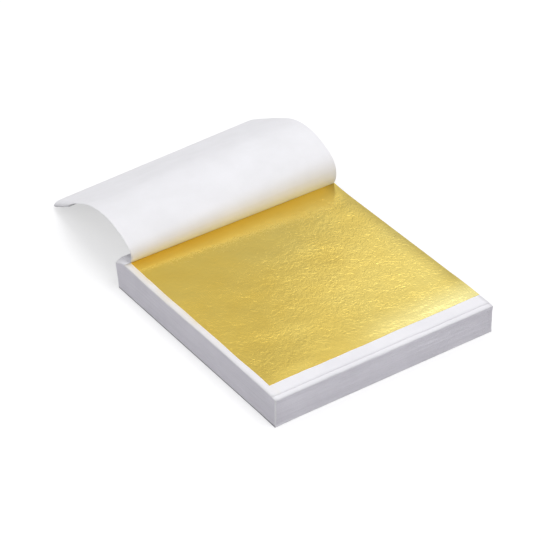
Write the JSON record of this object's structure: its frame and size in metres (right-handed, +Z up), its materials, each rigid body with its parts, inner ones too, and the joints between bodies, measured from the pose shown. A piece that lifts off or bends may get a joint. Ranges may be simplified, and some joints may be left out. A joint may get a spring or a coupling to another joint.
{
  "type": "gold leaf booklet",
  "caption": "Bound booklet of thin sheets with a square of loose metal leaf between each pair; the top sheet is turned back and curls over the glued rear margin.",
  "frame": {"origin": "centre of the sheets' footprint on the underside of the backing card", "axes": "+Z up off the table, +Y towards the glued rear margin, -X towards the side with the bare left margin"},
  "size_m": [0.0839, 0.1334, 0.0234],
  "materials": {
    "tissue": "thin smooth uncoated paper, slightly translucent",
    "leaf": "beaten metal leaf with fine creases, mirror-like",
    "card": "matt white board",
    "glue": "dried padding glue"
  },
  "bodies": {
    "booklet": {"backing_card": "card", "spine_glue": "glue", "bound_margins": "tissue", "sheets_1": "tissue", "sheets_2": "tissue", "sheets_3": "tissue", "sheets_4": "tissue", "sheets_5": "tissue", "sheets_6": "tissue", "sheets_7": "tissue", "sheets_8": "tissue", "sheets_9": "tissue", "sheets_10": "tissue", "sheets_11": "tissue", "sheets_12": "tissue", "leaves_1": "leaf", "leaves_2": "leaf", "leaves_3": "leaf", "leaves_4": "leaf", "leaves_5": "leaf", "leaves_6": "leaf", "leaves_7": "leaf", "leaves_8": "leaf", "leaves_9": "leaf", "leaves_10": "leaf", "leaves_11": "leaf", "leaves_12": "leaf"},
    "page_3": {"page_3": "tissue", "leaf_3": "leaf"},
    "page_2": {"page_2": "tissue", "leaf_2": "leaf"},
    "page_1": {"page_1": "tissue"},
    "leaf_1": {"leaf_1": "leaf"},
    "turned_strip_1": {"turned_strip_1": "tissue"},
    "turned_strip_2": {"turned_strip_2": "tissue"},
    "turned_strip_3": {"turned_strip_3": "tissue"},
    "turned_strip_4": {"turned_strip_4": "tissue"},
    "turned_strip_5": {"turned_strip_5": "tissue"},
    "turned_strip_6": {"turned_strip_6": "tissue"},
    "turned_strip_7": {"turned_strip_7": "tissue"}
  },
  "joints": [
    {"name": "page_turn", "type": "hinge", "parent": "booklet", "child": "turned_strip_1", "pos_m": [0.0011, 0.0385, 0.01047], "axis": [1, 0, 0], "range_deg": [0, 80.5]},
    {"name": "page_fold_1", "type": "hinge", "parent": "turned_strip_1", "child": "turned_strip_2", "pos_m": [0.0011, 0.03777, 0.01481], "axis": [0.9993, -0.0061, 0.0364], "range_deg": [0, 49]},
    {"name": "page_fold_2", "type": "hinge", "parent": "turned_strip_2", "child": "turned_strip_3", "pos_m": [0.00116, 0.04057, 0.0182], "axis": [0.9982, 0.0126, 0.0591], "range_deg": [0, 38.25]},
    {"name": "page_fold_3", "type": "hinge", "parent": "turned_strip_3", "child": "turned_strip_4", "pos_m": [0.00173, 0.05402, 0.02116], "axis": [0.9984, 0.0001, 0.0564], "range_deg": [0, 27.5]},
    {"name": "page_fold_4", "type": "hinge", "parent": "turned_strip_4", "child": "turned_strip_5", "pos_m": [0.00266, 0.0673, 0.01758], "axis": [0.9981, -0.0123, 0.0597], "range_deg": [0, 13.75]},
    {"name": "page_fold_5", "type": "hinge", "parent": "turned_strip_5", "child": "turned_strip_6", "pos_m": [0.00471, 0.08957, 0.00533], "axis": [0.9969, -0.033, 0.0712], "range_deg": [0, 91]},
    {"name": "page_fold_6", "type": "hinge", "parent": "turned_strip_6", "child": "turned_strip_7", "pos_m": [0.00484, 0.08852, 0.00352], "axis": [0.9968, -0.0321, 0.0729], "range_deg": [0, 91]},
    {"name": "page_3_lift", "type": "hinge", "parent": "booklet", "child": "page_3", "pos_m": [0, 0.0385, 0.00993], "axis": [1, 0, 0], "range_deg": [-8, 0]},
    {"name": "page_2_lift", "type": "hinge", "parent": "page_3", "child": "page_2", "pos_m": [0, 0.0385, 0.01003], "axis": [1, 0, 0], "range_deg": [-12, 0]},
    {"name": "page_1_lift", "type": "hinge", "parent": "page_2", "child": "page_1", "pos_m": [0, 0.0385, 0.01013], "axis": [1, 0, 0], "range_deg": [-25, 0]},
    {"name": "leaf_1_slide", "type": "slide", "parent": "page_1", "child": "leaf_1", "axis": [0, -1, 0], "range_m": [0, 0.082]}
  ],
  "couplings": [
    {"joint": "page_fold_1", "follows": "page_turn", "ratio": 0.6087},
    {"joint": "page_fold_2", "follows": "page_turn", "ratio": 0.47516},
    {"joint": "page_fold_3", "follows": "page_turn", "ratio": 0.34161},
    {"joint": "page_fold_4", "follows": "page_turn", "ratio": 0.17081},
    {"joint": "page_fold_5", "follows": "page_turn", "ratio": 1.1304},
    {"joint": "page_fold_6", "follows": "page_turn", "ratio": 1.1304}
  ]
}
